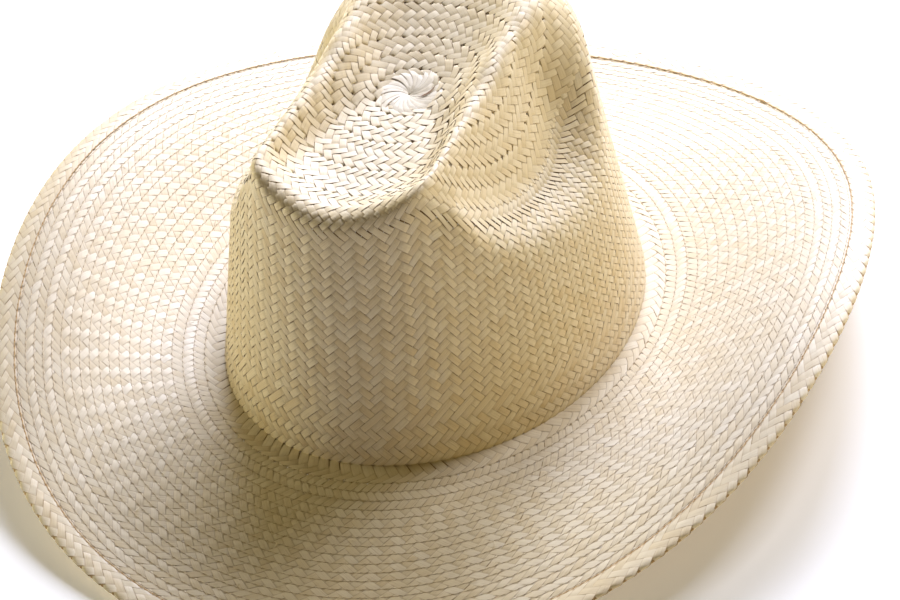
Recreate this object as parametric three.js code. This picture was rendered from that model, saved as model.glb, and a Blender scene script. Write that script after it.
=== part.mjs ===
// Palm leaf hat: hand woven straw with a creased crown and a wide brim that curls up at both sides.
// The crown has a sharp fold at the front, a hollow top between two ridges and a dent in each side.
// It rests on the front and the back of its brim, as it does when it is put down by itself.

import * as THREE from 'three';

// Sizes in millimetres. The front is -Y, up is +Z, and the surface under the hat is Z = 0.
// An angle runs round the hat from the front (0 degrees) over +X (90) to the back (180).

// Thickness of the woven straw, and the gap between one piece and the next.
const WALL = 2.0;
const HEM_WALL = 3.0;
const GAP = 0.3;

// The oval where the crown meets the brim: half its length, half its width, and its height.
const BASE_LONG = 97.4;
const BASE_WIDE = 80.0;
const BASE_CENTRE_Y = -2.7;
const BASE_Z = 10.0;
const BASE_FRONT_RISE = 3.9;
const BASE_SIDE_DROP = 1.5;

// The middle of the crown's top, where the weave starts.
const AXIS_Y = 2.6;
const CENTRE_Z = 107.6;

// The crown's section at each angle: reach from the crown's axis and height of its four corners.
// The shoulder is the lower lip of the side dent, the valley is the bottom of that dent,
// the crest is the top of a ridge or the front fold, and the floor is the hollow between ridges.
const CROWN_SECTIONS = [
  { angle: 0, shoulder: [84.0, 88.0], valley: [80.3, 102.5], crest: [77.8, 112.3], floor: [58, 107.5] },
  { angle: 15, shoulder: [81.6, 91.0], valley: [77.8, 106.0], crest: [75.2, 116.3], floor: [55, 107.5] },
  { angle: 28, shoulder: [76.4, 98.5], valley: [72.6, 114.3], crest: [70.0, 122.5], floor: [50, 108.0] },
  { angle: 36, shoulder: [72.8, 102.5], valley: [65.5, 108.5], crest: [57.8, 122.7], floor: [40, 108.0] },
  { angle: 44, shoulder: [73.7, 88.0], valley: [59.0, 100.5], crest: [49.0, 122.7], floor: [31, 108.0] },
  { angle: 55, shoulder: [72.7, 78.8], valley: [54.0, 91.5], crest: [41.5, 122.7], floor: [24, 108.0] },
  { angle: 70, shoulder: [70.5, 73.8], valley: [50.5, 85.5], crest: [36.2, 122.9], floor: [18, 108.5] },
  { angle: 90, shoulder: [69.5, 70.3], valley: [49.0, 83.5], crest: [34.0, 123.5], floor: [15, 109.0] },
  { angle: 106, shoulder: [69.8, 74.0], valley: [49.5, 85.5], crest: [35.4, 125.5], floor: [15.5, 109.5] },
  { angle: 118, shoulder: [69.5, 84.5], valley: [50.5, 93.5], crest: [38.5, 126.3], floor: [18, 110.5] },
  { angle: 128, shoulder: [70.0, 100.5], valley: [54.5, 108.5], crest: [43.0, 126.3], floor: [21, 111.5] },
  { angle: 140, shoulder: [73.5, 110.5], valley: [61.0, 119.5], crest: [50.0, 126.3], floor: [25, 113.0] },
  { angle: 158, shoulder: [80.0, 112.5], valley: [72.0, 120.5], crest: [61.0, 125.5], floor: [33, 115.0] },
  { angle: 180, shoulder: [84.5, 109.5], valley: [77.5, 119.0], crest: [68.0, 124.0], floor: [38, 116.0] },
];

// How far from each corner its rounding starts, and the steps in each straight stretch up to it.
const CROWN_CORNERS = [
  { name: 'shoulder', round: 7.0, steps: 6 },
  { name: 'valley', round: 9.0, steps: 2 },
  { name: 'crest', round: 6.0, steps: 2 },
  { name: 'floor', round: 10.0, steps: 2 },
];
const CORNER_STEPS = 2;
const CENTRE_STEPS = 3;

// The brim's outer edge as waves round the hat: wave 0 is the mean, wave 2 makes it long
// in plan and lifts its sides, and the others shape it a little.
const EDGE_WAVES = [
  { wave: 0, reach: 177.1, height: 19.6 },
  { wave: 1, reach: 0.0, height: -1.0 },
  { wave: 2, reach: 8.0, height: -19.8 },
  { wave: 3, reach: 0.0, height: 1.0 },
  { wave: 4, reach: -1.1, height: 1.3 },
];

// The folded edge of the brim: its width, and how far it falls from the edge to the brim.
const HEM_WIDTH = 9.0;
const HEM_DROP = 0.3;

// How much flatter the brim lies at the crown and at the hem than between them.
const BRIM_CURL = 0.75;

// Only the hem touches the surface under the hat: the brim stays this far above it.
const BRIM_CLEARANCE = 0.3;

// The hem's section: places across its width, as parts of it, and of half its thickness.
const HEM_SECTION = [
  { across: 1.0, up: 0.8 },
  { across: 0.55, up: 1.0 },
  { across: 0.15, up: 0.85 },
  { across: 0.0, up: 0.25 },
  { across: 0.0, up: -0.25 },
  { across: 0.15, up: -0.85 },
  { across: 0.55, up: -1.0 },
  { across: 1.0, up: -0.8 },
];

// Facets round the hat and across the brim.
const ROUND_STEPS = 72;
const BRIM_STEPS = 8;

const STEP_ANGLES = Array.from({ length: ROUND_STEPS }, (_, i) => (360 * i) / ROUND_STEPS);

function radians(degrees) {
  return THREE.MathUtils.degToRad(degrees);
}

// A point at a reach and an angle from an upright axis.
function polar(reach, angle, height, axisY) {
  const a = radians(angle);
  return new THREE.Vector3(reach * Math.sin(a), axisY - reach * Math.cos(a), height);
}

// A smooth curve through knots [x, y] that lie mirrored about 0 and 180 degrees:
// each piece is a cubic, and its slope at a knot is the mean of the slopes on both sides,
// each weighted with the other side's length.
function throughSections(knots, angle) {
  const x = Math.abs(((angle + 180) % 360) - 180);
  const last = knots.length - 1;
  const all = [
    [-knots[2][0], knots[2][1]],
    [-knots[1][0], knots[1][1]],
    ...knots,
    [360 - knots[last - 1][0], knots[last - 1][1]],
    [360 - knots[last - 2][0], knots[last - 2][1]],
  ];
  const slopeAt = (k) => {
    const before = all[k][0] - all[k - 1][0];
    const after = all[k + 1][0] - all[k][0];
    const slopeBefore = (all[k][1] - all[k - 1][1]) / before;
    const slopeAfter = (all[k + 1][1] - all[k][1]) / after;
    return (slopeBefore * after + slopeAfter * before) / (before + after);
  };
  let i = 2;
  while (i < all.length - 3 && x >= all[i + 1][0]) i += 1;
  const span = all[i + 1][0] - all[i][0];
  const t = (x - all[i][0]) / span;
  return (
    (2 * t ** 3 - 3 * t ** 2 + 1) * all[i][1] +
    (t ** 3 - 2 * t ** 2 + t) * span * slopeAt(i) +
    (3 * t ** 2 - 2 * t ** 3) * all[i + 1][1] +
    (t ** 3 - t ** 2) * span * slopeAt(i + 1)
  );
}

// The crown's base oval at an angle seen from the crown's axis, as [reach, height].
function crownBase(angle) {
  const c = Math.cos(radians(angle));
  const s = Math.sin(radians(angle));
  const offset = AXIS_Y - BASE_CENTRE_Y;
  const a = (c * c) / BASE_LONG ** 2 + (s * s) / BASE_WIDE ** 2;
  const b = (-2 * offset * c) / BASE_LONG ** 2;
  const k = offset ** 2 / BASE_LONG ** 2 - 1;
  const reach = (-b + Math.sqrt(b * b - 4 * a * k)) / (2 * a);
  const turn = Math.atan2((reach * s) / BASE_WIDE, (reach * c - offset) / BASE_LONG);
  return [reach, baseHeight(turn)];
}

function baseHeight(turn) {
  return BASE_Z + BASE_FRONT_RISE * Math.cos(turn) + BASE_SIDE_DROP * Math.cos(2 * turn);
}

// The crown's outside at one angle, from the base up to the middle of the top:
// straight stretches between the corners, and a parabola that rounds each corner.
function crownProfile(angle) {
  const points = [new THREE.Vector2(...crownBase(angle))];
  for (const { name } of CROWN_CORNERS) {
    const knots = (item) => CROWN_SECTIONS.map((section) => [section.angle, section[name][item]]);
    points.push(new THREE.Vector2(throughSections(knots(0), angle), throughSections(knots(1), angle)));
  }
  points.push(new THREE.Vector2(0, CENTRE_Z));

  const profile = [points[0].clone().setY(points[0].y - WALL), points[0]];
  let from = points[0];
  CROWN_CORNERS.forEach(({ round, steps }, n) => {
    const before = points[n];
    const corner = points[n + 1];
    const after = points[n + 2];
    const size = Math.min(round, 0.48 * corner.distanceTo(before), 0.48 * corner.distanceTo(after));
    const start = corner.clone().lerp(before, size / corner.distanceTo(before));
    const end = corner.clone().lerp(after, size / corner.distanceTo(after));
    for (let k = 1; k <= steps; k += 1) profile.push(from.clone().lerp(start, k / steps));
    for (let k = 1; k <= CORNER_STEPS; k += 1) {
      const t = k / CORNER_STEPS;
      profile.push(start.clone().lerp(corner, t).lerp(corner.clone().lerp(end, t), t));
    }
    from = end;
  });
  const centre = points[points.length - 1];
  for (let k = 1; k < CENTRE_STEPS; k += 1) profile.push(from.clone().lerp(centre, k / CENTRE_STEPS));
  return profile;
}

// How far out and how high the brim's edge lies at an angle, a little in from it if asked.
function brimEdge(angle, inset) {
  const sum = (key) =>
    EDGE_WAVES.reduce((total, row) => total + row[key] * Math.cos(row.wave * radians(angle)), 0);
  const drop = (HEM_DROP * inset) / HEM_WIDTH;
  return polar(sum('reach') - inset, angle, sum('height') - drop, 0);
}

// The middle of the brim's wall, from the crown (0) to the hem (1): it leaves the crown
// and meets the hem nearly level, and climbs or falls most in between.
function brimMiddle(angle, part) {
  const a = radians(angle);
  const inner = new THREE.Vector3(
    (BASE_WIDE + GAP) * Math.sin(a),
    BASE_CENTRE_Y - (BASE_LONG + GAP) * Math.cos(a),
    baseHeight(a) - WALL / 2,
  );
  const outer = brimEdge(angle, HEM_WIDTH + GAP);
  const eased = (1 - BRIM_CURL) * part + BRIM_CURL * part * part * (3 - 2 * part);
  const point = inner.clone().lerp(outer, part);
  point.z = inner.z + (outer.z - inner.z) * eased;
  return point;
}

// A closed mesh from triangles between grid points.
function solid(name, points, triangles, material) {
  const places = points.flatMap((p) => p.toArray());
  const geometry = new THREE.BufferGeometry();
  geometry.setAttribute('position', new THREE.Float32BufferAttribute(places, 3));
  geometry.setIndex(triangles);
  geometry.computeVertexNormals();
  const mesh = new THREE.Mesh(geometry, material);
  mesh.name = name;
  return mesh;
}

// A ring swept round the hat: section(angle) gives a closed loop of points,
// listed outwards along the top and back inwards along the underside.
function ringSolid(name, section, material) {
  const loops = STEP_ANGLES.map(section);
  const size = loops[0].length;
  const triangles = [];
  for (let i = 0; i < ROUND_STEPS; i += 1) {
    const next = (i + 1) % ROUND_STEPS;
    for (let j = 0; j < size; j += 1) {
      const up = (j + 1) % size;
      const [a, b, c, d] = [i * size + j, i * size + up, next * size + up, next * size + j];
      triangles.push(a, b, c, a, c, d);
    }
  }
  return solid(name, loops.flat(), triangles, material);
}

// The crown is one wall of even thickness: the outside, and an inside set in by that thickness
// square to it. Both close in one point at the middle of the top.
function crownSolid(name, material) {
  const outside = STEP_ANGLES.map((angle) =>
    crownProfile(angle).map((p) => polar(p.x, angle, p.y, AXIS_Y)),
  );
  const rows = outside[0].length;
  const at = (i, j) => outside[(i + ROUND_STEPS) % ROUND_STEPS][j];
  const inside = outside.map((line, i) =>
    line.map((point, j) => {
      const around = at(i + 1, j).clone().sub(at(i - 1, j));
      const along = at(i, Math.min(j + 1, rows - 1)).clone().sub(at(i, Math.max(j - 1, 0)));
      const normal = around.cross(along).normalize();
      if (j === 0) normal.setZ(0).normalize();
      return point.clone().addScaledVector(normal, -WALL);
    }),
  );
  const points = [...outside.flat(), ...inside.flat()];
  const offset = ROUND_STEPS * rows;
  const outerPole = points.push(new THREE.Vector3(0, AXIS_Y, CENTRE_Z)) - 1;
  const innerPole = points.push(new THREE.Vector3(0, AXIS_Y, CENTRE_Z - WALL)) - 1;
  const triangles = [];
  for (let i = 0; i < ROUND_STEPS; i += 1) {
    const a = i * rows;
    const b = ((i + 1) % ROUND_STEPS) * rows;
    for (let j = 0; j < rows - 1; j += 1) {
      triangles.push(a + j, b + j, b + j + 1, a + j, b + j + 1, a + j + 1);
      const [p, q] = [offset + a + j, offset + b + j];
      triangles.push(p, q + 1, q, p, p + 1, q + 1);
    }
    const top = rows - 1;
    triangles.push(a + top, b + top, outerPole);
    triangles.push(offset + b + top, offset + a + top, innerPole);
    triangles.push(a, offset + a, offset + b, a, offset + b, b);
  }
  return solid(name, points, triangles, material);
}

// The brim's section: its top from the crown to the hem, and its underside back again.
function brimSection(angle) {
  const top = [];
  const underside = [];
  for (let k = 0; k <= BRIM_STEPS; k += 1) {
    const middle = brimMiddle(angle, k / BRIM_STEPS);
    top.push(middle.clone().setZ(middle.z + WALL / 2));
    underside.unshift(middle.clone().setZ(Math.max(BRIM_CLEARANCE, middle.z - WALL / 2)));
  }
  return [...top, ...underside];
}

// The hem's section, pressed flat where the hat rests on it.
function hemSection(angle) {
  return HEM_SECTION.map(({ across, up }) => {
    const point = brimEdge(angle, HEM_WIDTH * across);
    point.z = Math.max(0, point.z + (up * HEM_WALL) / 2);
    return point;
  });
}

function straw(colour, roughness) {
  return new THREE.MeshStandardMaterial({ color: colour, roughness, metalness: 0 });
}

const hat = new THREE.Group();
hat.add(crownSolid('crown', straw(0xe8d9b4, 0.6)));
hat.add(ringSolid('brim', brimSection, straw(0xeadcb9, 0.6)));
hat.add(ringSolid('brim_hem', hemSection, straw(0xe2cf9f, 0.6)));

export default hat;
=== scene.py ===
import math

import bpy
import numpy as np
from mathutils import Matrix, Vector


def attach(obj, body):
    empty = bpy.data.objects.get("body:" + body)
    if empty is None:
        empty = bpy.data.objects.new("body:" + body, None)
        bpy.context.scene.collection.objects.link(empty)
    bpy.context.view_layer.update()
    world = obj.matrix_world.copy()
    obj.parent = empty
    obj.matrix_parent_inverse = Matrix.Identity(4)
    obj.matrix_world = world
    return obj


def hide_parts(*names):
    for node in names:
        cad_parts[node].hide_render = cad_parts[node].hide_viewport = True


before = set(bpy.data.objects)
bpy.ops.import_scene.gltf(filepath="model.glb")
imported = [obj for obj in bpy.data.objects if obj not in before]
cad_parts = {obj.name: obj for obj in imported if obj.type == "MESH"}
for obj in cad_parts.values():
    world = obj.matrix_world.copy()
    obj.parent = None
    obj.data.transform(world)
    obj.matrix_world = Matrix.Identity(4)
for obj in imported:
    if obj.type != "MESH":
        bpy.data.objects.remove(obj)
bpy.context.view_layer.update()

# Table, light and camera.
# The hat lies on its brim on a white table that glows a little. Cool soft lights behind it throw
# the crown's shadow forward over the brim, and weak warm ones low at the sides and in front fill
# the shade. The camera looks down on the hat's front left.

CAMERA_TURN, CAMERA_RISE, CAMERA_ROLL = np.radians([28.14, 40.47, -9.13])
CAMERA_AWAY = 1.05
CAMERA_TARGET = Vector((0.004797, -0.000154, 0.00966))
SENSOR_WIDTH, LENS = 36.0, 107.134  # millimetres
TABLE_HALF = 4
TABLE_GLOW, ROOM_GLOW = 0.22, 0.02

camera_data = bpy.data.cameras.new("camera")
camera_data.sensor_fit = "HORIZONTAL"
camera_data.sensor_width = SENSOR_WIDTH
camera_data.lens = LENS
camera = bpy.data.objects.new("camera", camera_data)
bpy.context.collection.objects.link(camera)
bpy.context.scene.camera = camera
level = Vector((math.cos(CAMERA_TURN), math.sin(CAMERA_TURN), 0.0))
back = Vector((
    math.sin(CAMERA_TURN) * math.cos(CAMERA_RISE),
    -math.cos(CAMERA_TURN) * math.cos(CAMERA_RISE),
    math.sin(CAMERA_RISE),
))
upward = back.cross(level)
right = math.cos(CAMERA_ROLL) * level + math.sin(CAMERA_ROLL) * upward
over = -math.sin(CAMERA_ROLL) * level + math.cos(CAMERA_ROLL) * upward
camera.matrix_world = Matrix.Translation(CAMERA_TARGET + CAMERA_AWAY * back) @ Matrix(
    (right, over, back)
).transposed().to_4x4()

table_mesh = bpy.data.meshes.new("table_top")
table_corners = [
    (-TABLE_HALF, -TABLE_HALF, 0),
    (TABLE_HALF, -TABLE_HALF, 0),
    (TABLE_HALF, TABLE_HALF, 0),
    (-TABLE_HALF, TABLE_HALF, 0),
]
table_mesh.from_pydata(table_corners, [], [(0, 1, 2, 3)])
table_top = bpy.data.objects.new("table_top", table_mesh)
bpy.context.collection.objects.link(table_top)
table_material = bpy.data.materials.new("white_table")
table_material.use_nodes = True
table_shader = table_material.node_tree.nodes["Principled BSDF"]
table_shader.inputs["Base Color"].default_value = (0.9, 0.9, 0.89, 1)
table_shader.inputs["Roughness"].default_value = 0.6
table_shader.inputs["Emission Color"].default_value = (1.0, 0.94, 0.85, 1)
table_shader.inputs["Emission Strength"].default_value = TABLE_GLOW
table_mesh.materials.append(table_material)

room = bpy.data.worlds.new("dim_room")
room.use_nodes = True
room.node_tree.nodes["Background"].inputs["Color"].default_value = (1.0, 0.9, 0.75, 1)
room.node_tree.nodes["Background"].inputs["Strength"].default_value = ROOM_GLOW
bpy.context.scene.world = room
bpy.context.scene.view_settings.view_transform = "Standard"

LIGHT_AWAY = 1.7
LIGHT_AIM = Vector((0, 0, 0.05))
SOFT_LIGHTS = [
    # name, turn from straight behind towards the wearer's left, rise, size, power, tint
    ("light_behind", -11.5, 34, 0.8, 43.5, (0.93, 0.98, 1.24)),
    ("light_high", 25, 47, 0.5, 14.5, (1.0, 1.0, 1.12)),
    ("light_side_right", -95, 12, 0.7, 14.0, (1.24, 1.10, 0.64)),
    ("light_side_left", 70, 14, 0.7, 4.8, (1.34, 1.12, 0.46)),
    ("light_front", 127, 18, 1.0, 1.9, (1.55, 1.10, 0.35)),
]
for name, turn, rise, size, power, tint in SOFT_LIGHTS:
    lamp_data = bpy.data.lights.new(name, "AREA")
    lamp_data.shape = "SQUARE"
    lamp_data.size = size
    lamp_data.energy = power
    lamp_data.color = tint
    lamp = bpy.data.objects.new(name, lamp_data)
    bpy.context.collection.objects.link(lamp)
    turn, rise = math.radians(turn), math.radians(rise)
    lamp.location = LIGHT_AWAY * Vector((
        math.cos(rise) * math.sin(turn),
        math.cos(rise) * math.cos(turn),
        math.sin(rise),
    ))
    lamp.rotation_mode = "QUATERNION"
    lamp.rotation_quaternion = (lamp.location - LIGHT_AIM).to_track_quat("Z", "Y")

# Crown wall.
# One layer of flat palm strands, hand woven over two and under two on the slant, with no seam.
# It stands up from the brim in narrow upright ribs of chevrons, above a band of level ones,
# and it is steamed over a block that gives it the front fold, the ridges and the side dents.

BASE_LONG, BASE_WIDE, BASE_CENTRE_Y = 97.4, 80.0, -2.7
BASE_Z, BASE_FRONT_RISE, BASE_SIDE_DROP = 10.0, 3.9, 1.5
AXIS_Y, CENTRE_Z = 2.6, 107.6
CROWN_SECTIONS = np.array([
    # angle from the front, then reach and height of the shoulder, valley, crest and floor
    (0, 84.0, 88.0, 80.3, 102.5, 77.8, 112.3, 58.0, 107.5),
    (15, 81.6, 91.0, 77.8, 106.0, 75.2, 116.3, 55.0, 107.5),
    (28, 76.4, 98.5, 72.6, 114.3, 70.0, 122.5, 50.0, 108.0),
    (36, 72.8, 102.5, 65.5, 108.5, 57.8, 122.7, 40.0, 108.0),
    (44, 73.7, 88.0, 59.0, 100.5, 49.0, 122.7, 31.0, 108.0),
    (55, 72.7, 78.8, 54.0, 91.5, 41.5, 122.7, 24.0, 108.0),
    (70, 70.5, 73.8, 50.5, 85.5, 36.2, 122.9, 18.0, 108.5),
    (90, 69.5, 70.3, 49.0, 83.5, 34.0, 123.5, 15.0, 109.0),
    (106, 69.8, 74.0, 49.5, 85.5, 35.4, 125.5, 15.5, 109.5),
    (118, 69.5, 84.5, 50.5, 93.5, 38.5, 126.3, 18.0, 110.5),
    (128, 70.0, 100.5, 54.5, 108.5, 43.0, 126.3, 21.0, 111.5),
    (140, 73.5, 110.5, 61.0, 119.5, 50.0, 126.3, 25.0, 113.0),
    (158, 80.0, 112.5, 72.0, 120.5, 61.0, 125.5, 33.0, 115.0),
    (180, 84.5, 109.5, 77.5, 119.0, 68.0, 124.0, 38.0, 116.0),
])
CORNER_ROUNDING = [
    # millimetres, and the most of the stretch before and of the one after it
    (7.0, 0.48, 0.48), (9.0, 0.48, 0.2), (12.5, 0.78, 0.48), (10.0, 0.48, 0.48),
]
CURVE_STEPS = 24


def through_sections(values, degrees):
    """A smooth curve round the crown through one column of its sections.

    The values lie mirrored about 0 and 180 degrees. Between two of them runs a cubic whose
    slope at each is the mean of the slopes on both sides, weighted with the other side's length.
    """
    at = CROWN_SECTIONS[:, 0]
    at = np.concatenate([-at[2:0:-1], at, 360 - at[-2:-4:-1]])
    of = np.concatenate([values[2:0:-1], values, values[-2:-4:-1]])
    x = np.abs((degrees + 180) % 360 - 180)
    gap = np.diff(at)
    slope = np.diff(of) / gap
    lean = np.zeros_like(of)
    lean[1:-1] = (slope[:-1] * gap[1:] + slope[1:] * gap[:-1]) / (gap[:-1] + gap[1:])
    i = np.clip(np.searchsorted(at, x, side="right") - 1, 1, len(at) - 3)
    t = (x - at[i]) / gap[i]
    return (
        (2 * t**3 - 3 * t**2 + 1) * of[i]
        + (t**3 - 2 * t**2 + t) * gap[i] * lean[i]
        + (3 * t**2 - 2 * t**3) * of[i + 1]
        + (t**3 - t**2) * gap[i] * lean[i + 1]
    )


def base_height(turn):
    """Height of the oval where the crown meets the brim: mean + rise cos t + drop cos 2t."""
    return BASE_Z + BASE_FRONT_RISE * np.cos(turn) + BASE_SIDE_DROP * np.cos(2 * turn)


def crown_base(degrees):
    """Reach and height of that oval where a ray from the crown's axis crosses its ellipse."""
    c, s = np.cos(np.radians(degrees)), np.sin(np.radians(degrees))
    offset = AXIS_Y - BASE_CENTRE_Y
    a = (c / BASE_LONG) ** 2 + (s / BASE_WIDE) ** 2
    b = -2 * offset * c / BASE_LONG**2
    reach = (-b + np.sqrt(b * b - 4 * a * (offset**2 / BASE_LONG**2 - 1))) / (2 * a)
    return reach, base_height(np.arctan2(reach * s / BASE_WIDE, (reach * c - offset) / BASE_LONG))


def crown_lines(degrees, steps):
    """The crown's section at each angle, from the base to the middle of the top.

    Straight stretches join its corners, and a parabola rounds each corner. It returns reach and
    height at equal steps of the way along the section, and the length of each whole way.
    """
    corners = [np.array(crown_base(degrees))]
    for column in (1, 3, 5, 7):
        corners.append(np.array([
            through_sections(CROWN_SECTIONS[:, column], degrees),
            through_sections(CROWN_SECTIONS[:, column + 1], degrees),
        ]))
    corners.append(np.array([0 * degrees, 0 * degrees + CENTRE_Z]))
    line = [corners[0][None]]
    last = corners[0]
    t = (np.arange(1, CURVE_STEPS + 1) / CURVE_STEPS)[:, None, None]
    for n, (rounding, most_before, most_after) in enumerate(CORNER_ROUNDING):
        before, corner, after = corners[n : n + 3]
        far_before = np.hypot(*(corner - before))
        far_after = np.hypot(*(after - corner))
        start = corner + (before - corner) * np.minimum(rounding / far_before, most_before)
        end = corner + (after - corner) * np.minimum(rounding / far_after, most_after)
        line.append(last + (start - last) * t)
        line.append((1 - t) ** 2 * start + 2 * t * (1 - t) * corner + t * t * end)
        last = end
    line.append(last + (corners[-1] - last) * t)
    line = np.concatenate(line)
    gone = np.hypot(*np.diff(line, axis=0).transpose(1, 0, 2)).cumsum(axis=0)
    gone = np.concatenate([0 * gone[:1], gone]).T
    # Each section's lengths are moved on by a metre, so that one interpolation reads them all.
    row = 1000.0 * np.arange(len(degrees))[:, None]
    wanted = row + gone[:, -1:] * np.linspace(0, 1, steps + 1)
    reach = np.interp(wanted, (row + gone).ravel(), line[:, 0].T.ravel())
    height = np.interp(wanted, (row + gone).ravel(), line[:, 1].T.ravel())
    return reach, height, gone[:, -1]


GRID_TURNS, GRID_STEPS = 720, 700
grid_reach, grid_height, grid_length = crown_lines(
    np.linspace(0, 360, GRID_TURNS + 1), GRID_STEPS
)


def crown_length(turn):
    """Millimetres along the crown from the base to the middle of the top, at a turn in radians."""
    return np.interp(np.degrees(turn) % 360, np.linspace(0, 360, GRID_TURNS + 1), grid_length)


def crown_point(turn, way):
    """A point on the crown's outside: way runs from 0 at the base to 1 in the middle of the top.

    It reads reach and height between the four nearest places of the sections' grid, and turns
    them about the crown's axis: x = reach sin turn, y = axis - reach cos turn, z = height.
    """
    x = np.degrees(turn) % 360 * GRID_TURNS / 360
    y = np.clip(way, 0, 1) * GRID_STEPS
    i = np.clip(x.astype(int), 0, GRID_TURNS - 1)
    j = np.clip(y.astype(int), 0, GRID_STEPS - 1)
    fx, fy = x - i, y - j
    found = [
        (g[i, j] * (1 - fx) + g[i + 1, j] * fx) * (1 - fy)
        + (g[i, j + 1] * (1 - fx) + g[i + 1, j + 1] * fx) * fy
        for g in (grid_reach, grid_height)
    ]
    return np.stack(
        [found[0] * np.sin(turn), AXIS_Y - found[0] * np.cos(turn), found[1]], -1
    )


DISC_EDGE = 76.0  # the disc that the weave began as, measured along the crown from its middle
LINE_STEPS = 1440


def even_turns(point_of_turn, part):
    """Turns that lie at equal steps of length round a closed line: part is 0 to 1 once round."""
    turns = np.linspace(0, 2 * np.pi, LINE_STEPS + 1)
    steps = np.linalg.norm(np.diff(point_of_turn(turns), axis=0), axis=1)
    gone = np.concatenate([[0], steps.cumsum()])
    return np.interp(part % 1, gone / gone[-1], turns) + 2 * np.pi * np.floor(part)


WALL_COLUMNS, WALL_ROWS = 268, 52
CROWDING = 0.06


def wall_surface(u, v):
    """The wall between the base (v 0) and the edge of the disc (v WALL_ROWS).

    Round the base the columns lie at equal lengths. Towards the disc they crowd more and more
    into the side dents, as turn + crowding sin(2 turn). Below the base the wall runs straight
    down.
    """
    part = u / WALL_COLUMNS
    equal = 2 * np.pi * part
    low = even_turns(lambda t: crown_point(t, 0 * t), part)
    high = equal + CROWDING * np.sin(2 * equal)
    rise = v / WALL_ROWS
    turn = low + (high - low) * np.clip(rise, 0, 1)
    length = crown_length(turn)
    point = crown_point(turn, rise * (length - DISC_EDGE) / length)
    point[..., 2] += np.minimum(rise, 0) * (length - DISC_EDGE)
    return point


def flat_strands(left, middle, right_edge, height, thick, sunk, tone, along, tilt=0.0):
    """Closed flat strands, n of them with m sections each, from arrays of n by m points.

    A section is a low triangle: left edge, top, right edge. Its edges lie at the given height
    off the surface and its top at a thickness above that, and it is shaded as one soft curve.
    The tilt lifts the left edge and lowers the right one. The normal is across the strand
    times along it.
    """
    ahead = np.gradient(middle, axis=1)
    normal = np.cross(right_edge - left, ahead)
    normal /= np.linalg.norm(normal, axis=-1, keepdims=True) + 1e-12
    height = height[..., None]
    ring = np.stack([
        left + normal * (height + tilt),
        middle + normal * (height + thick),
        right_edge + normal * (height - tilt),
    ], axis=2)
    n, m = ring.shape[:2]
    three = np.zeros((n, m, 3))
    start = (np.arange(n)[:, None, None] * m + np.arange(m - 1)[None, :, None]) * 3
    j = np.arange(3)[None, None]
    k = (j + 1) % 3
    end = np.arange(n)[:, None] * m * 3
    return {
        "points": ring.reshape(-1, 3),
        "sides": np.stack([start + j, start + k, start + 3 + k, start + 3 + j], -1).reshape(-1, 4),
        "ends": np.concatenate([end + [2, 1, 0], end + (m - 1) * 3 + [0, 1, 2]]),
        "tone": (three + tone[:, None, None]).ravel(),
        "sunk": (three + sunk[..., None]).ravel(),
        "along": (three + along[..., None]).ravel(),
        "across": (three + np.array([-1.0, 0.0, 1.0])).ravel(),
    }


def joined(parts):
    """Several parts as one: their points follow each other, and their faces count on."""
    counts = np.cumsum([0] + [len(p["points"]) for p in parts[:-1]])
    out = {}
    for key in parts[0]:
        shift = counts if key in ("sides", "ends") else 0 * counts
        out[key] = np.concatenate([p[key] + s for p, s in zip(parts, shift)])
    return out


FLOAT_SIDE, FLOAT_MIDDLE = 0.27, 0.5  # places of a strand's sections, in rows from a crossing
STRAND_END = 0.62  # rows that a strand runs past its first and its last crossing
BY_FLOAT, BY_DIVE, MID_FLOAT = 1.15, 0.93, 1.25  # heights, as shares of the lift
# END_SUNK is how much painted shade a strand's ends take where they dive under.
END_HEIGHT, END_SUNK = -0.7, 0.4
PRESSED_FLAT = 0.65
UNEVEN_HEIGHT, UNEVEN_WIDTH, UNEVEN_PLACE = 0.025, 0.03, 0.03
# The falling strands are painted a little darker, as painted shade for the light falling
# differently on the two slants.
TONE_SPREAD, FALLING_PAINTED_SHADE = 0.85, 0.1
STRIDE = 2.8  # millimetres along a strand from one crossing to the next, for its fibres


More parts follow.
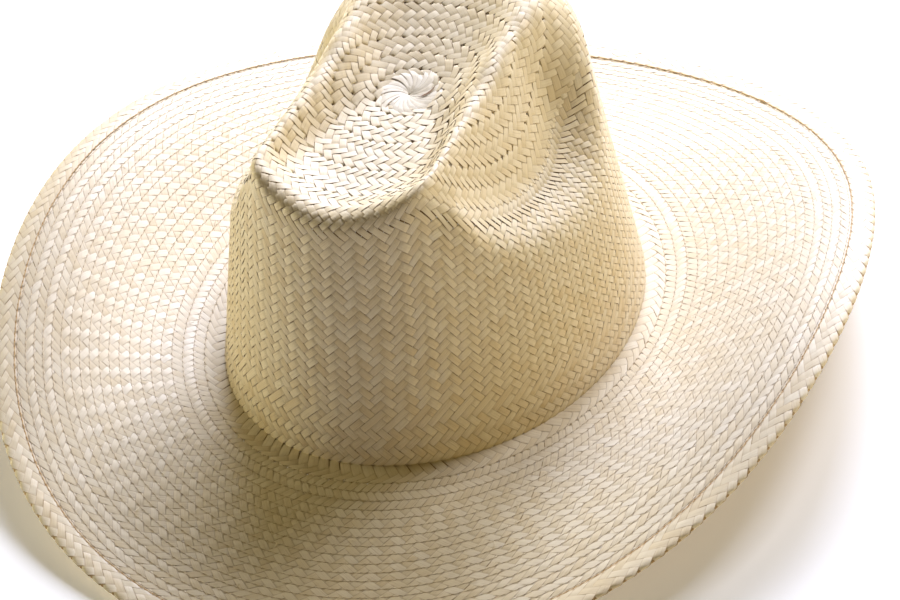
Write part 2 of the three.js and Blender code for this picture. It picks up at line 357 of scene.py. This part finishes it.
def woven(
    surface, columns, first, last, upper, seed, slants=(1, -1), widths=((0, 0.985),),
    below=0.5, lift=0.26, thick=0.14, lean=0.1, pressed=lambda v: 0 * v, fine=False,
):
    """Two families of flat strands that cross on a surface of columns u and rows v.

    Strand k of the rising family (slant 1) runs along u = 2k + v, and of the falling one along
    u = 2k - v, so they cross where v is whole. upper(u, v) says where the rising one passes
    over. Each strand has two sections to a crossing, just before and just after it, and in
    a fine weave one more halfway to the next. It is lifted off the surface where it passes
    over, a little more in the middle of a float, and sunk as far where it passes under, less
    where it is pressed. Its edges lie on u -/+ v = 2k -/+ width, where widths lists rows and the
    share of the pitch that a strand fills there. below is how far under the surface, in
    millimetres, the middle of the weave lies. Each strand leans, so that its edge nearer row 0
    stands proud by lean.
    """
    rng = np.random.default_rng(seed)
    k = np.arange(columns // 2)[:, None]
    crossing = np.arange(first, last + 1)
    v = (crossing[:, None] + np.array([-FLOAT_SIDE, FLOAT_SIDE, FLOAT_MIDDLE])).ravel()[:-1]
    keep = np.ones(len(v), dtype=bool)
    keep[2::3] = fine
    v = np.concatenate([[first - STRAND_END], v[keep], [last + STRAND_END]])[None]
    parts = []
    for side in slants:
        u = 2 * k + side * crossing
        over = (upper(u, crossing) | np.zeros(u.shape, dtype=bool)) == (side > 0)
        before = np.concatenate([over[:, :1], over[:, :-1]], axis=1)
        after = np.concatenate([over[:, 1:], over[:, -1:]], axis=1)
        sign = np.where(over, 1.0, -1.0)
        height = np.stack([
            sign * np.where(over == before, BY_FLOAT, BY_DIVE),
            sign * np.where(over == after, BY_FLOAT, BY_DIVE),
            np.where(over == after, MID_FLOAT * sign, 0.0),
        ], axis=-1).reshape(len(k), -1)[:, :-1][:, keep]
        low_end = np.full((len(k), 1), END_HEIGHT)
        height = np.concatenate([low_end, height, low_end], axis=1)
        # How far a strand passes under sets the painted shade in its colour.
        sunk = np.clip(0.5 - 0.5 * height, 0, 1)
        sunk[:, [0, -1]] = END_SUNK
        height = lift * height * (1 - PRESSED_FLAT * pressed(v))
        height = height + UNEVEN_HEIGHT * rng.standard_normal(height.shape) - below
        wide = np.interp(v, *np.array(widths, dtype=float).T)
        wide = wide * (1 + UNEVEN_WIDTH * rng.standard_normal((len(k), 1)))
        u = 2 * k + side * v + UNEVEN_PLACE * rng.standard_normal((len(k), 1))
        tone = TONE_SPREAD * rng.random(len(k)) + FALLING_PAINTED_SHADE * (side < 0)
        parts.append(flat_strands(
            surface(u - wide / 2, v + side * wide / 2),
            surface(u, v + 0 * u),
            surface(u + wide / 2, v - side * wide / 2),
            height,
            thick,
            sunk,
            tone,
            50 * rng.random((len(k), 1)) + v * STRIDE,
            -side * lean,
        ))
    return joined(parts)


def straw_piece(name, part, material):
    """A mesh object in metres from points in millimetres, sides of four corners, ends of three.

    Each strand's tone, how far it is sunk into the weave, and its place along and across the
    strand are kept as attributes and as the map Strand. The edges along a strand's two rims
    stay sharp, so that its top is shaded apart from its underside.
    """
    mesh = bpy.data.meshes.new(name)
    sides, ends = part["sides"], part["ends"]
    corners = np.concatenate([sides.ravel(), ends.ravel()]).astype(np.int32)
    starts = np.concatenate([
        np.arange(len(sides)) * 4,
        sides.size + np.arange(len(ends)) * 3,
    ]).astype(np.int32)
    mesh.vertices.add(len(part["points"]))
    mesh.vertices.foreach_set("co", (0.001 * part["points"]).astype(np.float32).ravel())
    mesh.loops.add(len(corners))
    mesh.loops.foreach_set("vertex_index", corners)
    mesh.polygons.add(len(starts))
    mesh.polygons.foreach_set("loop_start", starts)
    mesh.update(calc_edges=True)
    mesh.polygons.foreach_set("use_smooth", np.ones(len(starts), dtype=bool))
    for key in ("tone", "sunk"):
        values = mesh.attributes.new(key, "FLOAT", "POINT")
        values.data.foreach_set("value", part[key].astype(np.float32))
    strand_map = mesh.uv_layers.new(name="Strand")
    uv = np.stack([part["along"], part["across"]], -1)[corners]
    strand_map.data.foreach_set("uv", uv.astype(np.float32).ravel())
    pairs = np.empty(len(mesh.edges) * 2, dtype=np.int32)
    mesh.edges.foreach_get("vertices", pairs)
    on_rim = np.abs(part["across"][pairs.reshape(-1, 2)]).min(axis=1) > 0.99
    sharp = mesh.attributes.new("sharp_edge", "BOOLEAN", "EDGE")
    sharp.data.foreach_set("value", on_rim)
    mesh.materials.append(material)
    piece = bpy.data.objects.new(name, mesh)
    bpy.context.collection.objects.link(piece)
    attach(piece, "root")
    return piece


def shown(red, green, blue):
    """A colour as it looks on a screen, turned into the light values that shaders use."""
    c = np.array([red, green, blue]) / 255
    return (*np.where(c > 0.04045, ((c + 0.055) / 1.055) ** 2.4, c / 12.92), 1.0)


def straw_colour_group():
    """Colour of dried palm leaf, from a strand's tone, its place on the strand and its depth.

    Each strand has a tone between ivory and straw yellow, which drifts along it. Fine fibres
    run along the leaf, some of them dark. Its edges are darkened as painted shade of the gaps
    between strands, and where it runs under others or ends it turns warm brown, as painted shade
    of the weave's hollows.
    """
    group = bpy.data.node_groups.new("palm_leaf", "ShaderNodeTree")
    for name in ("Pale", "Straw", "PaintedShade"):
        group.interface.new_socket(name, in_out="INPUT", socket_type="NodeSocketColor")
    group.interface.new_socket("Colour", in_out="OUTPUT", socket_type="NodeSocketColor")
    group.interface.new_socket("Veins", in_out="OUTPUT", socket_type="NodeSocketFloat")
    nodes, links = group.nodes, group.links
    inputs = nodes.new("NodeGroupInput")
    outputs = nodes.new("NodeGroupOutput")

    def math_node(kind, a, b, clamp=False):
        node = nodes.new("ShaderNodeMath")
        node.operation = kind
        node.use_clamp = clamp
        for socket, value in zip(node.inputs, (a, b)):
            if isinstance(value, (int, float)):
                socket.default_value = value
            else:
                links.new(value, socket)
        return node.outputs[0]

    def mixed(factor, a, b):
        node = nodes.new("ShaderNodeMix")
        node.data_type = "RGBA"
        links.new(factor, node.inputs["Factor"])
        links.new(a, node.inputs[6])
        links.new(b, node.inputs[7])
        return node.outputs[2]

    def fibre_noise(along, across, detail):
        """Noise drawn out along the leaf, and different on each strand."""
        stretch = nodes.new("ShaderNodeCombineXYZ")
        links.new(math_node("MULTIPLY", split.outputs[0], along), stretch.inputs[0])
        links.new(math_node("MULTIPLY", split.outputs[1], across), stretch.inputs[1])
        links.new(math_node("MULTIPLY", tone.outputs["Fac"], 97.0), stretch.inputs[2])
        noise = nodes.new("ShaderNodeTexNoise")
        noise.inputs["Scale"].default_value = 1.0
        noise.inputs["Detail"].default_value = detail
        links.new(stretch.outputs[0], noise.inputs["Vector"])
        return noise.outputs[0]

    def ramp(value, low, high):
        """0 below low, 1 above high, and smooth between them."""
        node = nodes.new("ShaderNodeMapRange")
        node.interpolation_type = "SMOOTHSTEP"
        node.inputs["From Min"].default_value = low
        node.inputs["From Max"].default_value = high
        links.new(value, node.inputs["Value"])
        return node.outputs[0]

    tone = nodes.new("ShaderNodeAttribute")
    tone.attribute_name = "tone"
    sunk = nodes.new("ShaderNodeAttribute")
    sunk.attribute_name = "sunk"
    place = nodes.new("ShaderNodeUVMap")
    place.uv_map = "Strand"
    split = nodes.new("ShaderNodeSeparateXYZ")
    links.new(place.outputs[0], split.inputs[0])
    veins = fibre_noise(0.08, 5.0, 2.0)
    fine = fibre_noise(0.12, 11.0, 1.0)
    drifting = fibre_noise(0.05, 0.2, 1.0)
    share = math_node("ADD", math_node("MULTIPLY", tone.outputs["Fac"], 0.6), -0.42)
    share = math_node("ADD", share, math_node("MULTIPLY", drifting, 0.75))
    share = math_node("ADD", share, math_node("MULTIPLY", veins, 0.45), clamp=True)
    leaf = mixed(share, inputs.outputs["Pale"], inputs.outputs["Straw"])
    # Painted shade along the strand's edges, for the gaps between strands.
    rim = ramp(math_node("ABSOLUTE", split.outputs[1], 0.0), 0.82, 1.02)
    # Painted shade where the strand runs under other strands and at its ends.
    painted_shade = ramp(sunk.outputs["Fac"], 0.3, 0.95)
    dark = math_node("MAXIMUM", math_node("MULTIPLY", rim, 0.55), painted_shade)
    streaks = math_node("MULTIPLY", ramp(fine, 0.52, 0.8), 0.35)
    dark = math_node("MAXIMUM", dark, streaks, clamp=True)
    links.new(mixed(dark, leaf, inputs.outputs["PaintedShade"]), outputs.inputs["Colour"])
    links.new(veins, outputs.inputs["Veins"])
    return group


palm_leaf = straw_colour_group()


def straw_material(name, pale, straw, painted_shade, roughness):
    """Palm leaf with its colours, and veins raised a few hundredths of a millimetre."""
    material = bpy.data.materials.new(name)
    material.use_nodes = True
    nodes, links = material.node_tree.nodes, material.node_tree.links
    shader = nodes["Principled BSDF"]
    leaf = nodes.new("ShaderNodeGroup")
    leaf.node_tree = palm_leaf
    leaf.inputs["Pale"].default_value = shown(*pale)
    leaf.inputs["Straw"].default_value = shown(*straw)
    # The third colour is painted shade for the gaps and hollows of the weave.
    leaf.inputs["PaintedShade"].default_value = shown(*painted_shade)
    bump = nodes.new("ShaderNodeBump")
    bump.inputs["Strength"].default_value = 0.35
    bump.inputs["Distance"].default_value = 0.0001
    links.new(leaf.outputs["Veins"], bump.inputs["Height"])
    links.new(bump.outputs["Normal"], shader.inputs["Normal"])
    links.new(leaf.outputs["Colour"], shader.inputs["Base Color"])
    shader.inputs["Roughness"].default_value = roughness
    shader.inputs["Specular IOR Level"].default_value = 0.35
    return material


# In each palm material the third colour is painted shade for the weave's gaps and hollows.
crown_straw = straw_material("crown_palm", (242, 230, 201), (226, 205, 162), (128, 92, 48), 0.45)

LEVEL_UP_TO, LEVEL_FROM = 10, 48
WALL_WIDTHS = [(47, 0.985), (47.6, 0.87), (49.4, 0.87), (50.2, 1.0)]  # row, share of the pitch


def wall_ribs(u, v):
    """Level chevrons in the lowest ten rows, upright ones above, and level ones by the disc.

    The strands are narrower just under the rim, which leaves dark slits there.
    """
    ribs = np.where(v < LEVEL_UP_TO, v % 4 < 2, u % 4 < 2)
    return np.where(v < LEVEL_FROM, ribs, (v - LEVEL_FROM) % 4 >= 2)


crown_wall = straw_piece(
    "crown_wall",
    woven(wall_surface, WALL_COLUMNS, 0, WALL_ROWS, wall_ribs, 11, widths=WALL_WIDTHS),
    crown_straw,
)
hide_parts("crown")

# Crown top.
# The same weave, on the disc that it was begun with: rings of slanting strands, level ring on
# level ring, with fewer strands in each ring nearer the middle, where all of them meet.

DISC_RINGS = [
    # outer and inner distance from the middle along the crown, columns round, rows
    (76.0, 60.0, 212, 8),
    (60.0, 44.0, 160, 8),
    (44.0, 28.0, 112, 8),
    (28.0, 20.0, 72, 4),
    (20.0, 12.0, 48, 4),
    (12.0, 6.0, 30, 4),
]
NEAREST_MIDDLE = 0.3  # millimetres


def ring_surface(outer, inner, columns, rows):
    """A ring of the disc: u runs evenly round its middle line, v from its outside inwards."""
    middle = (outer + inner) / 2

    def surface(u, v):
        def at(turn, distance):
            return crown_point(turn, 1 - distance / crown_length(turn))

        turn = even_turns(lambda t: at(t, middle + 0 * t), u / columns)
        return at(turn, np.maximum(outer - (outer - inner) * v / rows, NEAREST_MIDDLE))

    return surface


def level_rings(u, v):
    """Two rows of falling floats, then two rows of rising ones."""
    return v % 4 >= 2


rings = [
    woven(
        ring_surface(outer, inner, columns, rows), columns, 0, rows - 1, level_rings, 20 + n,
        lift=0.2, thick=0.1, lean=0.06,
    )
    for n, (outer, inner, columns, rows) in enumerate(DISC_RINGS)
]
top_straw = straw_material("crown_top_palm", (240, 226, 193), (226, 205, 160), (168, 134, 84), 0.5)
crown_top = straw_piece("crown_top", joined(rings), top_straw)

# Rosette.
# The first strands of the weave, which all cross in the middle of the top. They lie there like
# a swirled fan, each with one edge over the next, and dive into the woven rings. Where two of
# them have parted, a thin strip lies on top, all in painted shade, for the dark slit between them.

ROSETTE_STRANDS, ROSETTE_REACH = 24, 12.5
ROSETTE_SWIRL = 0.7
FAN_START, FAN_STEPS = 0.25, 20
FAN_WIDTHS = (0.5, 0.3, 3.4)  # in the middle, more for each millimetre out, and at most
FAN_LIFTS = [-0.5, 0.0, -0.1, -0.7]  # at 0, 0.3, 0.7 and 1 of the reach
FAN_THICK, EDGE_TILT = 0.16, 0.12
REACH_SPREAD, TURN_SPREAD, LIFT_SPREAD = 0.12, 0.18, 0.05
rosette_random = np.random.default_rng(31)


def rosette_place(turn, distance, aside):
    """A place in the middle of the top, aside millimetres to one side of a strand's own line.

    The strand's line turns back by the swirl times what is left of its reach.
    """
    angle = turn - ROSETTE_SWIRL * (1 - distance / ROSETTE_REACH)
    x = distance * np.sin(angle) - aside * np.cos(angle)
    y = -distance * np.cos(angle) - aside * np.sin(angle)
    far = np.hypot(x, y)
    around = np.arctan2(x, -y)
    return crown_point(around, 1 - far / crown_length(around))


reaches = 1 + REACH_SPREAD * rosette_random.standard_normal((ROSETTE_STRANDS, 1))
reaches = ROSETTE_REACH * reaches
out = FAN_START + (reaches - FAN_START) * np.linspace(0, 1, FAN_STEPS)[None]
each = np.arange(ROSETTE_STRANDS) + TURN_SPREAD * rosette_random.standard_normal(ROSETTE_STRANDS)
each = 2 * np.pi * each[:, None] / ROSETTE_STRANDS
half_width = 0.5 * np.minimum(FAN_WIDTHS[0] + FAN_WIDTHS[1] * out, FAN_WIDTHS[2])
lift = np.interp(out / reaches, [0, 0.3, 0.7, 1], FAN_LIFTS)
lift = lift + LIFT_SPREAD * rosette_random.standard_normal((ROSETTE_STRANDS, 1))
fan = flat_strands(
    rosette_place(each, out, -half_width),
    rosette_place(each, out, 0),
    rosette_place(each, out, half_width),
    lift,
    FAN_THICK,
    0 * out,
    0.5 * rosette_random.random(ROSETTE_STRANDS),
    out + 40 * each,
    EDGE_TILT,
)
# The slit is a thin strip painted wholly in the shade colour, lying on the fan.
SLIT_FROM, SLIT_TO, SLIT_HALF = (4.6, 72), (10.8, 122), 0.6  # distance and turn in degrees
SLIT_STEPS, SLIT_TIP = 12, 0.06
SLIT_HEIGHT, SLIT_THICK, SLIT_TONE = 0.4, 0.05, 0.9
slit_part = np.linspace(0, 1, SLIT_STEPS)[None]
slit_out = SLIT_FROM[0] + (SLIT_TO[0] - SLIT_FROM[0]) * slit_part
slit_turn = np.radians(SLIT_FROM[1] + (SLIT_TO[1] - SLIT_FROM[1]) * slit_part)
slit_turn = slit_turn + ROSETTE_SWIRL * (1 - slit_out / ROSETTE_REACH)
slit_half = np.maximum(SLIT_HALF * np.sin(np.pi * slit_part), SLIT_TIP)
painted_slit_shade = flat_strands(
    rosette_place(slit_turn, slit_out, -slit_half),
    rosette_place(slit_turn, slit_out, 0),
    rosette_place(slit_turn, slit_out, slit_half),
    SLIT_HEIGHT + 0 * slit_out,
    SLIT_THICK,
    1 + 0 * slit_out,
    np.array([SLIT_TONE]),
    slit_out,
)
rosette_straw = straw_material("rosette_palm", (247, 237, 212), (236, 219, 182), (128, 92, 48), 0.5)
rosette = straw_piece("rosette", joined([fan, painted_slit_shade]), rosette_straw)

# Brim.
# The crown's strands run on into the brim in one long slanting row, then they are split in two
# and woven finer, with bands of level chevrons next to the crown and the edge. Between them
# ribs of rising and of falling floats come in turn, the rising strands and the first rows painted
# duller than the falling ones, as painted shade. Machine stitches hold it in rings all the way out.

EDGE_WAVES = np.array([
    # wave, reach, height
    (0, 177.1, 19.6),
    (1, 0.0, -1.0),
    (2, 8.0, -19.8),
    (3, 0.0, 1.0),
    (4, -1.1, 1.3),
])
HEM_WIDTH, HEM_DROP = 9.0, 0.3
BRIM_CURL = 0.75
BRIM_START = 8.0
BRIM_COLUMNS, BRIM_ROWS = 384, 38
ROW_SPREAD = 0.15  # the rows are as much wider than the mean by the crown, and narrower outside
STITCH_PRESS = 0.03
BRIM_LIFT = 0.45  # the weave's middle lies this far above the middle of the brim
BRIM_HALF = 1.0  # half the brim's thickness
HEM_GAP = 0.3
INNER_LEVEL_UP_TO, OUTER_LEVEL_PAST = 6, 27


def brim_edge(turn, inset):
    """The middle of the edge, a little in from it: reach and height are sums of cosine waves."""
    waves = np.cos(EDGE_WAVES[:, 0] * turn[..., None])
    reach = waves @ EDGE_WAVES[:, 1] - inset
    height = waves @ EDGE_WAVES[:, 2] - HEM_DROP * inset / HEM_WIDTH
    return np.stack([reach * np.sin(turn), -reach * np.cos(turn), height], -1)


def brim_point(turn, way):
    """A point in the middle of the brim, way millimetres out from the crown in plan.

    It lies on the straight line in plan from the crown's oval to the hem, and climbs as
    a quarter of the way plus three quarters of a smooth step. Past the hem's inner edge it
    runs straight on with the hem.
    """
    inner = np.stack([
        BASE_WIDE * np.sin(turn),
        BASE_CENTRE_Y - BASE_LONG * np.cos(turn),
        base_height(turn) - BRIM_HALF,
    ], -1)
    outer = brim_edge(turn, HEM_WIDTH + HEM_GAP)
    span = outer - inner
    length = np.linalg.norm(span[..., :2], axis=-1)
    part = way / length
    curved = (1 - BRIM_CURL) * part + BRIM_CURL * part**2 * (3 - 2 * part)
    beyond = np.maximum(part - 1, 0) * length
    climb = np.where(part < 1, curved, 1.0)
    point = inner + span * part[..., None]
    point[..., 2] = inner[..., 2] + span[..., 2] * climb + HEM_DROP / HEM_WIDTH * beyond
    return point, length


def stitch_groove(v):
    """1 on the stitch lines, which run between two rows at v -0.5, 1.5, 3.5 and so on, else 0.

    It is the eighth power of the cosine of half pi times (v + 0.5).
    """
    return np.cos(0.5 * np.pi * (v + 0.5)) ** 8


def brim_surface(u, v):
    """The stitched part of the brim: v runs from its first stitch line (-0.5) out to the hem.

    With p the part of the rows gone, the way out goes as p + spread p (1 - p). The surface is
    pressed in along the stitch lines.
    """
    turn = -2 * np.pi * u / BRIM_COLUMNS
    length = brim_point(turn, 0 * turn)[1]
    p = (v + 0.5) / (BRIM_ROWS + 0.5)
    point = brim_point(turn, BRIM_START + (length - BRIM_START) * (p + ROW_SPREAD * p * (1 - p)))[0]
    point[..., 2] -= STITCH_PRESS * stitch_groove(v)
    return point


def brim_ribs(u, v):
    """Level chevrons in the six rows by the crown and the eleven by the hem, else upright."""
    level = (v < INNER_LEVEL_UP_TO) | (v > OUTER_LEVEL_PAST)
    return np.where(level, v % 4 < 2, (u + 1) % 4 < 2)


FIRST_COLUMNS, FIRST_SKEW = 240, 0.3
FIRST_BANDS = np.array([
    # row, way out
    (-1.1, -2.6), (-0.5, -1.8), (1.5, 4.8), (3.5, 8.2), (4.1, 8.9),
])


def first_rows_surface(u, v):
    """The two rows of wide strands between the crown and the first stitch line.

    Each row shifts the columns on by the skew, so that the strands of the first row stand steep
    and those of the second lie flat. The bands say how far out each row lies.
    """
    turn = -2 * np.pi * (u + FIRST_SKEW * v) / FIRST_COLUMNS
    return brim_point(turn, np.interp(v, *FIRST_BANDS.T) + 0 * turn)[0]


brim_straw = straw_material("brim_palm", (243, 232, 207), (231, 214, 177), (170, 138, 92), 0.5)
# A duller copy of the brim's palm, as painted shade, for the rising strands and the first rows.
painted_dull_straw = straw_material(
    "brim_palm_painted_dull", (239, 227, 199), (225, 206, 166), (162, 130, 84), 0.55
)
brim_rising, brim_falling = [
    straw_piece(
        name,
        woven(
            brim_surface, BRIM_COLUMNS, 0, BRIM_ROWS, brim_ribs, seed, slants=(slant,),
            widths=((0, width),), below=-BRIM_LIFT, lift=0.14, thick=0.06, lean=0.02,
            pressed=stitch_groove, fine=True,
        ),
        material,
    )
    for name, seed, slant, width, material in (
        ("brim_rising_strands", 41, 1, 1.0, painted_dull_straw),
        ("brim_falling_strands", 42, -1, 1.08, brim_straw),
    )
]
# The first rows are painted in the duller copy, as painted shade.
first_rows = straw_piece(
    "brim_first_rows",
    woven(
        first_rows_surface, FIRST_COLUMNS, 0, 3, lambda u, v: v >= 2, 43,
        below=-BRIM_LIFT, lift=0.16, thick=0.1, lean=0.06, fine=True,
    ),
    painted_dull_straw,
)
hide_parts("brim")

# Stitches.
# Thin machine thread that holds the brim in rings, one after each second row of the weave. It
# lies in a groove that it pulls into the straw, and dips down at both ends of each stitch, on
# top and below, where its ends are painted dark as painted shade for the needle holes.

STITCH_STEP = 2.8
STITCH_WIDE, STITCH_THICK = 0.18, 0.1
STITCH_SECTIONS = np.array([
    # part of the stitch's length from its middle, height, width, and how far it is sunk, which
    # paints shade for the needle hole
    (-0.50, -0.04, 1.2, 1.0), (-0.38, 0.02, 1.5, 0.7), (0.0, 0.06, 0.8, 0.0),
    (0.38, 0.02, 1.5, 0.7), (0.50, -0.04, 1.2, 1.0),
])
HEIGHT_ABOVE, HEIGHT_BELOW = BRIM_LIFT + 0.2, -BRIM_LIFT + 0.05
STITCH_SLANT, STITCH_WANDER = 0.12, 0.03  # in rows
ROW_WIDTH = 2.0
SIDES_SHORTER = 8  # millimetres that the mean reach of a ring is less than at the front
stitch_random = np.random.default_rng(51)


def stitch_line(row, side, height, wide):
    """One ring of stitches: thin strands of five sections, wide and dark near both ends.

    side is 1 on top of the brim and -1 below it. Each stitch lies a little aslant.
    """
    front = brim_surface(np.zeros((1, 1)), np.full((1, 1), float(row)))
    reach = np.linalg.norm(front[..., :2])
    number = int(round(2 * np.pi * (reach - SIDES_SHORTER) / STITCH_STEP))
    k = np.arange(number)[:, None]
    part, up, swell, sunk = STITCH_SECTIONS.T[:, None]
    u = BRIM_COLUMNS * (k + 0.5 + part) / number
    v = row - STITCH_SLANT * part + STITCH_WANDER * stitch_random.standard_normal((number, 1))
    half = side * swell * wide / (2 * ROW_WIDTH)
    return flat_strands(
        brim_surface(u, v + half),
        brim_surface(u, v),
        brim_surface(u, v - half),
        height + up + 0 * u,
        STITCH_THICK,
        sunk + 0 * u,
        stitch_random.random(number),
        0 * u,
    )


def thread_material(name, light, dark, painted_hole_shade):
    """Dull thread: mottled between two colours, and darker where it dives into a hole."""
    material = bpy.data.materials.new(name)
    material.use_nodes = True
    nodes, links = material.node_tree.nodes, material.node_tree.links
    shader = nodes["Principled BSDF"]
    place = nodes.new("ShaderNodeTexCoord")
    mottling = nodes.new("ShaderNodeTexNoise")
    mottling.inputs["Scale"].default_value = 700.0
    links.new(place.outputs["Object"], mottling.inputs["Vector"])
    sunk = nodes.new("ShaderNodeAttribute")
    sunk.attribute_name = "sunk"
    tones, holes = nodes.new("ShaderNodeMix"), nodes.new("ShaderNodeMix")
    for mix in (tones, holes):
        mix.data_type = "RGBA"
    tones.inputs[6].default_value = shown(*light)
    tones.inputs[7].default_value = shown(*dark)
    # Painted shade of the needle holes, at the thread's ends.
    holes.inputs[7].default_value = shown(*painted_hole_shade)
    links.new(mottling.outputs[0], tones.inputs["Factor"])
    links.new(tones.outputs[2], holes.inputs[6])
    links.new(sunk.outputs["Fac"], holes.inputs["Factor"])
    links.new(holes.outputs[2], shader.inputs["Base Color"])
    shader.inputs["Roughness"].default_value = 0.75
    return material


thread = thread_material("stitch_thread", (234, 219, 188), (218, 198, 160), (160, 130, 88))
stitch_rows = np.arange(-0.5, BRIM_ROWS, 2)
stitches_above, stitches_below = [
    straw_piece(
        name,
        joined([stitch_line(row, side, height, STITCH_WIDE) for row in stitch_rows]),
        thread,
    )
    for name, side, height in (
        ("stitches_above", 1, HEIGHT_ABOVE),
        ("stitches_below", -1, HEIGHT_BELOW),
    )
]

# Hem.
# The edge of the brim's weave is folded under and stitched down, so it is two layers thick.
# Its strands run slanting over the fold in one band after another.

HEM_SECTION = np.array([
    # part of the hem's width in from the edge, part of half its thickness up
    (1.03, 0.75), (0.55, 0.95), (0.2, 0.85), (0.06, 0.5), (0.03, 0.0),
    (0.06, -0.5), (0.2, -0.85), (0.55, -0.95), (1.03, -0.75),
])
HEM_ROWS, HEM_HALF = 10, 1.0
HEM_BANDS = np.array([
    # row, millimetres from the inner edge on top, round the fold, to the one below
    (-0.5, 0.0), (1.5, 3.0), (3.5, 6.2), (5.5, 11.0), (7.5, 15.0), (9.5, 18.7),
])
LOWEST = 0.56  # height of the lowest part of the fold, where the hat rests


def hem_surface(u, v):
    """The hem from its inner edge on top (v -0.5), round the fold, to the one below (v 9.5).

    Its section is a line through nine places, on which the bands say where each row lies. It
    is pressed flat where the hat rests.
    """
    turn = -2 * np.pi * u / BRIM_COLUMNS
    flat = HEM_SECTION * [HEM_WIDTH, HEM_HALF]
    gone = np.concatenate([[0], np.hypot(*np.diff(flat, axis=0).T).cumsum()])
    at = np.interp(v, *HEM_BANDS.T)
    point = brim_edge(turn, np.interp(at, gone, flat[:, 0]))
    point[..., 2] = np.maximum(point[..., 2] + np.interp(at, gone, flat[:, 1]), LOWEST)
    return point


hem_straw = straw_material("hem_palm", (238, 226, 197), (224, 204, 163), (184, 152, 104), 0.45)
hem = straw_piece(
    "hem_weave",
    woven(
        hem_surface, BRIM_COLUMNS, 0, HEM_ROWS - 1, lambda u, v: v % 4 < 2, 61,
        below=0.0, lift=0.09, thick=0.07, lean=0.03, fine=True,
    ),
    hem_straw,
)
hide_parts("brim_hem")

# Hem seam.
# The thicker tan thread that holds the folded edge down, in a ring along the hem's inner edge,
# with a small knot where it begins.

SEAM_WIDE, SEAM_ROW = 0.4, BRIM_ROWS + 0.1
SEAM_HEIGHT = BRIM_LIFT + 0.55
KNOT_TURN, KNOT_ENDS, KNOT_STEPS = math.radians(150), 9, 6
KNOT_REACH, KNOT_LONGER = 0.35, 0.4  # in columns
KNOT_SPREAD, KNOT_HALF, KNOT_FLATTER = 0.3, 0.07, 0.8
KNOT_TOP, KNOT_DROP, KNOT_UNEVEN = 0.5, 0.9, 0.1

seam_thread = thread_material("seam_thread", (222, 194, 144), (202, 168, 112), (186, 144, 88))
knot_random = np.random.default_rng(71)
knot_angle = 2 * math.pi / 3 * (knot_random.random((KNOT_ENDS, 1)) - 0.5)
knot_reach = KNOT_REACH + KNOT_LONGER * knot_random.random((KNOT_ENDS, 1))
knot_way = np.linspace(-1, 1, KNOT_STEPS)[None] * knot_reach
knot_u = KNOT_SPREAD * knot_random.standard_normal((KNOT_ENDS, 1))
knot_u = -BRIM_COLUMNS * KNOT_TURN / (2 * np.pi) + knot_u
knot_u = knot_u + knot_way * np.cos(knot_angle)
knot_v = SEAM_ROW + KNOT_FLATTER * knot_way * np.sin(knot_angle)
knot_height = SEAM_HEIGHT + KNOT_TOP - KNOT_DROP * knot_way**2
knot_height = knot_height + KNOT_UNEVEN * knot_random.standard_normal((KNOT_ENDS, 1))
knot = flat_strands(
    brim_surface(knot_u, knot_v + KNOT_HALF),
    brim_surface(knot_u, knot_v),
    brim_surface(knot_u, knot_v - KNOT_HALF),
    knot_height,
    STITCH_THICK,
    0 * knot_u,
    knot_random.random(KNOT_ENDS),
    0 * knot_u,
)
seam = straw_piece(
    "hem_seam",
    joined([stitch_line(SEAM_ROW, 1, SEAM_HEIGHT, SEAM_WIDE), knot]),
    seam_thread,
)

# Loose slivers.
# Fine splinters that have split off the edges of the strands and stand up a little, here and
# there on the brim and on the crown.

SLIVER_WIDE, SLIVER_THICK, SLIVER_RISE = 0.22, 0.12, 0.9
SLIVER_SHORT, SLIVER_LONGER = 0.6, 0.9  # in rows
BRIM_SLIVERS, CROWN_SLIVERS, SLIVER_STEPS = 90, 40, 6
sliver_random = np.random.default_rng(81)


def slivers(surface, number, columns, low_row, high_row, base):
    """Splinters of random length and direction, that curve up off the surface at one end."""
    way = np.linspace(0, 1, SLIVER_STEPS)[None]
    angle = 2 * np.pi * sliver_random.random((number, 1))
    reach = SLIVER_SHORT + SLIVER_LONGER * sliver_random.random((number, 1))
    u = columns * sliver_random.random((number, 1)) + way * reach * np.cos(angle)
    v = low_row + (high_row - low_row) * sliver_random.random((number, 1))
    v = v + way * reach * np.sin(angle)
    half = SLIVER_WIDE / (2 * ROW_WIDTH)
    aside_u, aside_v = -half * np.sin(angle), half * np.cos(angle)
    return flat_strands(
        surface(u + aside_u, v + aside_v),
        surface(u, v),
        surface(u - aside_u, v - aside_v),
        base + SLIVER_RISE * sliver_random.random((number, 1)) * way**2,
        SLIVER_THICK,
        0 * u,
        0.3 * sliver_random.random(number),
        3 * way + 50 * angle,
    )


brim_slivers = straw_piece(
    "brim_slivers",
    slivers(brim_surface, BRIM_SLIVERS, BRIM_COLUMNS, 1, BRIM_ROWS - 2, BRIM_LIFT + 0.45),
    brim_straw,
)
crown_slivers = straw_piece(
    "crown_slivers",
    slivers(wall_surface, CROWN_SLIVERS, WALL_COLUMNS, 3, WALL_ROWS - 3, 0.0),
    crown_straw,
)
